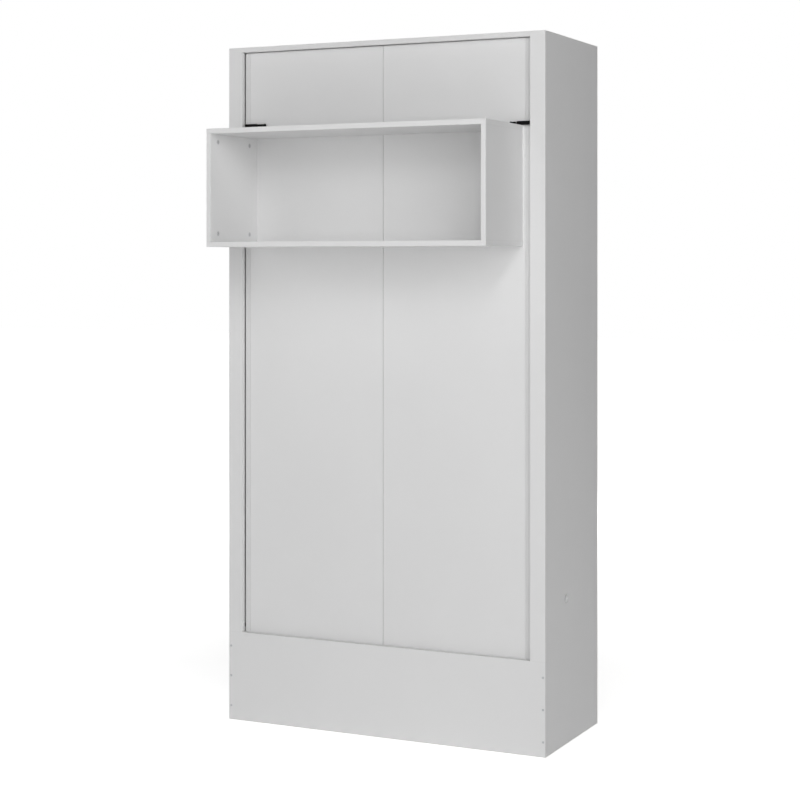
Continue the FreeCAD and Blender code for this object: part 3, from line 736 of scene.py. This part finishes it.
def make_straps():
    """Both straps, each with a slider, a stitched box and two anchor screws at either end."""
    threads = bmesh.new()
    sliders = bmesh.new()
    anchors = bmesh.new()
    for name in ("mattress_strap_lower", "mattress_strap_upper"):
        low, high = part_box(name)
        width = high.z - low.z
        band = bmesh.new()
        add_band(band, strap_route(low, high), (0, 0, 1), width, STRAP_THICKNESS)
        add_piece(name.replace("mattress", "webbing"), band, WEBBING, "bed", (name,))
        back = (low.y + high.y) / 2
        middle = (low.z + high.z) / 2
        slider_z = middle - strap_sag(SLIDER_FROM_MIDDLE, RAIL_IN)
        add_slider(sliders, Vector((SLIDER_FROM_MIDDLE, back, slider_z)), width)
        stitches_z = middle - strap_sag(STITCHES_FROM_MIDDLE, RAIL_IN)
        stitches = Vector((STITCHES_FROM_MIDDLE, back, stitches_z))
        add_stitch_box(threads, stitches, (1, 0, 0), (0, 0, 1), (0, 1, 0))
        for side in SIDES.values():
            face = side * (RAIL_IN - STRAP_THICKNESS - STRAP_OFF_RAIL)
            for step in (-ANCHOR_STEP, ANCHOR_STEP):
                place = Vector((face, back - STRAP_TAB / 2 - ANCHOR_DROP, middle + step))
                add_anchor(anchors, place, side, step * ANCHOR_TURN)
    add_piece("strap_stitching", threads, THREAD, "bed")
    add_piece("strap_sliders", sliders, BLACK_PLASTIC, "bed")
    add_piece("strap_anchor_screws", anchors, ZINC, "bed")


make_straps()


# ---- gas struts --------------------------------------------------------------

# Places along a strut are measured from the stud on the cabinet.
TUBE_START = 12 * MM
TUBE_END = 207 * MM
TUBE_RADIUS = 11 * MM
TUBE_BORE = 9.4 * MM
TUBE_WALL_END = 4.5 * MM
GLAND_DEPTH = 8 * MM
GLAND_BORE = 4.3 * MM
ROD_RADIUS = 4 * MM
PISTON_RADIUS = 9 * MM
PISTON_START = 187 * MM
PISTON_END = 198 * MM
EYE_RADIUS = 8 * MM
EYE_HALF_WIDTH = 5 * MM
EYE_BORE = 4.05 * MM
EYE_SOFT = 0.9 * MM
FITTING = 22 * MM            # length of the eye's shank, from the stud's axis


def add_eye(bm, centre):
    """The ring that sits on a stud."""
    soft = EYE_SOFT
    outer = [(-EYE_HALF_WIDTH + soft, EYE_RADIUS), (EYE_HALF_WIDTH - soft, EYE_RADIUS)]
    edge = [(EYE_HALF_WIDTH - soft * 0.3, EYE_RADIUS - soft * 0.3), (EYE_HALF_WIDTH, EYE_RADIUS - soft)]
    inner = [(EYE_HALF_WIDTH, EYE_BORE + 0.4 * MM), (EYE_HALF_WIDTH - 0.4 * MM, EYE_BORE)]
    half = edge + inner
    loop = outer + half + [(-a, r) for a, r in half[::-1]]
    add_lathe(bm, loop, facing(centre, (1, 0, 0)), 36, closed_round=True)


def strut_cylinder(side, base, axis):
    """The black tube, hollow for the rod, with its eye and the neck between them."""
    bm = bmesh.new()
    place = facing(base, axis)
    outside = [(TUBE_START, 0), (TUBE_START, 6 * MM), (TUBE_START + 0.8 * MM, 8.6 * MM)]
    outside += [(TUBE_START + 3 * MM, 10.6 * MM), (TUBE_START + 5 * MM, TUBE_RADIUS)]
    groove = TUBE_END - 13 * MM
    outside += [(groove - 1.6 * MM, TUBE_RADIUS), (groove - 0.8 * MM, TUBE_RADIUS - 0.6 * MM)]
    outside += [(groove + 0.8 * MM, TUBE_RADIUS - 0.6 * MM), (groove + 1.6 * MM, TUBE_RADIUS)]
    outside += [(TUBE_END - 3 * MM, TUBE_RADIUS), (TUBE_END - 1 * MM, 10.2 * MM), (TUBE_END, 8.4 * MM)]
    inside = [(TUBE_END, 5.6 * MM), (TUBE_END - 1 * MM, GLAND_BORE), (TUBE_END - GLAND_DEPTH, GLAND_BORE)]
    inside += [(TUBE_END - GLAND_DEPTH, TUBE_BORE), (TUBE_START + TUBE_WALL_END, TUBE_BORE)]
    inside += [(TUBE_START + TUBE_WALL_END, 0)]
    add_lathe(bm, outside + inside, place, 40)
    add_eye(bm, base)
    neck = [(EYE_RADIUS - 2 * MM, 0), (EYE_RADIUS - 2 * MM, 4.2 * MM), (EYE_RADIUS + 1 * MM, 4.4 * MM)]
    neck += [(TUBE_START - 1 * MM, 5.4 * MM), (TUBE_START + 0.5 * MM, 5.8 * MM), (TUBE_START + 0.5 * MM, 0)]
    add_lathe(bm, neck, place, 24)
    node = "strut_cylinder_" + side
    add_piece("gas_strut_tube_" + side, bm, STRUT_BLACK, node, (node,))


def strut_rod(side, base, axis, length):
    """The chromed rod with its piston, and the black end fitting with its eye."""
    node = "strut_rod_" + side
    place = facing(base, axis)
    bm = bmesh.new()
    rod_end = length - FITTING + 2 * MM
    rod = [(PISTON_START, 0), (PISTON_START, PISTON_RADIUS), (PISTON_END, PISTON_RADIUS)]
    rod += [(PISTON_END, ROD_RADIUS), (rod_end, ROD_RADIUS), (rod_end, 0)]
    add_lathe(bm, rod, place, 28)
    add_piece("gas_strut_rod_" + side, bm, CHROME, node, (node,))
    bm = bmesh.new()
    start = length - FITTING
    end = length - EYE_RADIUS + 2 * MM
    shank = [(start, 0), (start, 5.2 * MM), (start + 1.2 * MM, 6.0 * MM), (start + 7 * MM, 6.0 * MM)]
    shank += [(start + 8.5 * MM, 5.0 * MM), (end, 4.4 * MM), (end, 0)]
    add_lathe(bm, shank, place, 24)
    add_eye(bm, base + Vector(axis) * length)
    add_piece("gas_strut_fitting_" + side, bm, STRUT_BLACK, node)


def make_struts():
    """Each strut runs between its two studs, whose places the joints give."""
    for side in SIDES:
        base = Vector(JOINTS["strut_cylinder_" + side + "_turn"]["pos_m"])
        far = Vector(JOINTS["strut_rod_" + side + "_turn"]["pos_m"])
        far.x = base.x
        axis = (far - base).normalized()
        strut_cylinder(side, base, axis)
        strut_rod(side, base, axis, (far - base).length)


make_struts()


# ---- slide bolts that lock the stored bed ------------------------------------

HOUSING_SOFT = 2.4 * MM      # rounding of the housing's corners
HOUSING_CHAMFER = 0.6 * MM
HOUSING_MOUTH = 3 * MM       # how far inside each end of the housing its bore's inner ring lies
HOUSING_LIP = (0.5 * MM, 0.3 * MM)       # depth and width of the flare at the mouth
HOUSING_SCREWS = (0.16, 0.84)            # as shares of the housing's length
BORE_STEP = math.radians(9)
BOLT_RADIUS = 4.35 * MM
BOLT_BORE = 4.45 * MM
BOLT_KNOB = 5.2 * MM
NECK_RADIUS = 1.5 * MM
NECK_LENGTH = 5 * MM
KNOB_LENGTH = 6.5 * MM
GROOVE = 0.4 * MM            # depth of the grip's grooves
GROOVE_PITCH = 2.6 * MM
BOLT_TIP = 16 * MM           # slimmer end that enters the stile
BOLT_TIP_RADIUS = 2.45 * MM
LATCH_SCREW = (2.6 * MM, 0.5 * MM)


def finer_outline(outline, step):
    """The same outline with points added on its long sides, so that a round bore can be joined to it."""
    result = []
    for (a, b), (next_a, next_b) in zip(outline, outline[1:] + outline[:1]):
        turn = math.atan2(next_b, next_a) - math.atan2(b, a)
        turn = abs((turn + math.pi) % math.tau - math.pi)
        parts = max(1, math.ceil(turn / step))
        for part in range(parts):
            share = part / parts
            result.append((a + (next_a - a) * share, b + (next_b - b) * share))
    return result


def latch_housing(side):
    """Cast housing: rounded block with a bore, and two screws in its face."""
    node = "latch_housing_" + side
    low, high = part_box(node)
    bolt_low, bolt_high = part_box("latch_bolt_" + side)
    bore_y = (bolt_low.y + bolt_high.y) / 2
    bore_z = (bolt_low.z + bolt_high.z) / 2
    centre_y = (low.y + high.y) / 2
    centre_z = (low.z + high.z) / 2
    half_y = (high.y - low.y) / 2
    half_z = (high.z - low.z) / 2
    outline = finer_outline(rounded_outline(half_y, half_z, HOUSING_SOFT, 5), BORE_STEP)

    def section(x, shrink):
        return [Vector((x, centre_y + a * shrink, centre_z + b * shrink)) for a, b in outline]

    def bore(x, radius):
        turns = [math.atan2(b, a) for a, b in outline]
        return [Vector((x, bore_y + radius * math.cos(t), bore_z + radius * math.sin(t))) for t in turns]

    eased = 1 - HOUSING_CHAMFER / half_z
    lip, flare = HOUSING_LIP
    mouth = BOLT_BORE + flare
    rings = [bore(low.x + HOUSING_MOUTH, BOLT_BORE), bore(low.x + lip, BOLT_BORE), bore(low.x, mouth)]
    rings += [section(low.x, eased), section(low.x + HOUSING_CHAMFER, 1.0)]
    rings += [section(high.x - HOUSING_CHAMFER, 1.0), section(high.x, eased)]
    rings += [bore(high.x, mouth), bore(high.x - lip, BOLT_BORE), bore(high.x - HOUSING_MOUTH, BOLT_BORE)]
    bm = bmesh.new()
    add_rings(bm, rings, closed_round=True)
    add_piece("slide_bolt_housing_" + side, bm, LATCH_BLACK, "bed", (node,))
    screws = bmesh.new()
    length = high.x - low.x
    for share in HOUSING_SCREWS:
        place = Vector((low.x + length * share, low.y, centre_z))
        add_screw_head(screws, place, (0, -1, 0), *LATCH_SCREW, spin=share)
    add_piece("slide_bolt_screws_" + side, screws, LATCH_BLACK, "bed")


def latch_bolt(side):
    """Turned bolt: slim tip, narrow neck, grooved grip and a rounded knob."""
    node = "latch_bolt_" + side
    low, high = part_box(node)
    away = SIDES[side]
    knob_x = low.x if away > 0 else high.x
    housing_low, housing_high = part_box("latch_housing_" + side)
    housing_x = housing_low.x if away > 0 else housing_high.x
    centre = Vector((knob_x, (low.y + high.y) / 2, (low.z + high.z) / 2))
    length = high.x - low.x
    neck = abs(housing_x - knob_x) - NECK_LENGTH
    neck_end = neck + NECK_LENGTH
    profile = [(0, 0), (0, 3.4 * MM), (0.5 * MM, 4.5 * MM), (1.8 * MM, BOLT_KNOB), (4.6 * MM, BOLT_KNOB)]
    profile += [(5.8 * MM, 4.5 * MM), (KNOB_LENGTH, 3.4 * MM), (KNOB_LENGTH + 1.2 * MM, 3.4 * MM)]
    profile += [(KNOB_LENGTH + 2.2 * MM, BOLT_RADIUS)]
    groove = KNOB_LENGTH + 4 * MM
    while groove < neck - 3 * MM:
        profile += [(groove, BOLT_RADIUS), (groove + GROOVE, BOLT_RADIUS - GROOVE)]
        profile += [(groove + 2 * GROOVE, BOLT_RADIUS - GROOVE), (groove + 3 * GROOVE, BOLT_RADIUS)]
        groove += GROOVE_PITCH
    profile += [(neck - 0.6 * MM, BOLT_RADIUS), (neck, NECK_RADIUS), (neck_end - 0.6 * MM, NECK_RADIUS)]
    shoulder = length - BOLT_TIP
    profile += [(neck_end, BOLT_RADIUS), (shoulder - 0.6 * MM, BOLT_RADIUS)]
    profile += [(shoulder, BOLT_RADIUS - 0.6 * MM), (shoulder, BOLT_TIP_RADIUS)]
    profile += [(length - 1 * MM, BOLT_TIP_RADIUS), (length, BOLT_TIP_RADIUS - 1 * MM), (length, 0)]
    bm = bmesh.new()
    add_lathe(bm, profile, facing(centre, (away, 0, 0)), 28)
    add_piece("slide_bolt_" + side, bm, LATCH_BLACK, node, (node,))


for side_name in SIDES:
    latch_housing(side_name)
    latch_bolt(side_name)


# ---- floor, camera and light -------------------------------------------------

FLOOR_HALF = 30.0
FLOOR_FADE = (1.3, 5.0)      # distances between which the floor fades to the backdrop's white
FLOOR_GLOW = 0.209           # of the floor towards the object
FLOOR_SEEN = 0.65            # of the floor towards the camera, near the object
CAMERA_PLACE = Vector((2.617, FRONT_Y - 5.317, 1.526))
CAMERA_YAW = 25.606
CAMERA_LENS = 82.72
CAMERA_SHIFT = -0.1697
SENSOR_WIDTH = 36.0


def make_floor():
    """A pale floor that fades to white, so that no horizon shows."""
    bm = bmesh.new()
    bmesh.ops.create_grid(bm, x_segments=8, y_segments=8, size=FLOOR_HALF)
    floor = object_from_bmesh("studio_floor", bm)
    shader = Shader("floor_white")
    dust = shader.noise(1.5, 4.0, 0.6)
    shader.set("Base Color", shader.blend(dust, (0.90, 0.90, 0.90), (0.92, 0.92, 0.92)))
    shader.set("Roughness", shader.remap(dust, 0.3, 0.7, 0.75, 0.85))
    shader.set("Emission Color", (1, 1, 1))
    measure = shader.tree.nodes.new("ShaderNodeVectorMath")
    measure.operation = "LENGTH"
    shader.put(measure.inputs[0], shader.coords)
    fade = shader.remap(measure.outputs["Value"], *FLOOR_FADE, FLOOR_SEEN, 1.0)
    path = shader.tree.nodes.new("ShaderNodeLightPath")
    seen = shader.times(fade, path.outputs["Is Camera Ray"])
    shader.set("Emission Strength", shader.math("MAXIMUM", seen, FLOOR_GLOW))
    floor.data.materials.append(shader.material)


def make_camera():
    data = bpy.data.cameras.new("camera")
    data.lens = CAMERA_LENS
    data.sensor_width = SENSOR_WIDTH
    data.shift_y = CAMERA_SHIFT
    data.clip_end = 200.0
    camera = new_object("camera", data)
    camera.location = CAMERA_PLACE
    camera.rotation_euler = (math.radians(90), 0, math.radians(CAMERA_YAW))
    SCENE.camera = camera


# name: azimuth from the front towards +X, elevation, distance, width, watts
LIGHTS = {
    "key": (25, 26, 6.0, 1.0, 28.6),
    "key_high_left": (15, 35, 6.0, 1.5, 12.9),
    "key_high_right": (35, 35, 6.0, 1.5, 30.0),
    "fill_left": (-40, 10, 7.0, 3.5, 51.8),
    "fill_far_left": (-75, 20, 7.0, 3.5, 25.7),
    "fill_front": (20, 10, 7.0, 3.5, 69.1),
    "fill_right": (50, 10, 7.0, 3.5, 114.0),
    "fill_above": (0, 50, 6.0, 3.0, 3.3),
    "rear": (-172, 20, 6.5, 3.5, 80.0),
    "rear_left": (-130, 20, 6.5, 3.5, 40.0),
}
LIGHT_TARGET = Vector((0.0, FRONT_Y, 1.25))
WORLD_LIGHT = 0.0394


def make_light(name, azimuth, elevation, distance, width, watts):
    data = bpy.data.lights.new(name, "AREA")
    data.shape = "SQUARE"
    data.size = width
    data.energy = watts
    light = new_object(name, data)
    light.visible_camera = False
    across = math.radians(azimuth)
    up = math.radians(elevation)
    away = Vector((math.sin(across) * math.cos(up), -math.cos(across) * math.cos(up), math.sin(up)))
    light.location = LIGHT_TARGET + away * distance
    light.rotation_euler = away.to_track_quat("Z", "Y").to_euler()


def make_world():
    """White where the camera sees it, and only a little light from it."""
    world = bpy.data.worlds.new("studio")
    SCENE.world = world
    world.use_nodes = True
    tree = world.node_tree
    background = tree.nodes["Background"]
    background.inputs["Color"].default_value = (1, 1, 1, 1)
    path = tree.nodes.new("ShaderNodeLightPath")
    strength = tree.nodes.new("ShaderNodeMath")
    strength.operation = "MAXIMUM"
    tree.links.new(path.outputs["Is Camera Ray"], strength.inputs[0])
    strength.inputs[1].default_value = WORLD_LIGHT
    tree.links.new(strength.outputs[0], background.inputs["Strength"])


make_floor()
make_camera()
for light_name, light_values in LIGHTS.items():
    make_light(light_name, *light_values)
make_world()
SCENE.view_settings.view_transform = "Standard"
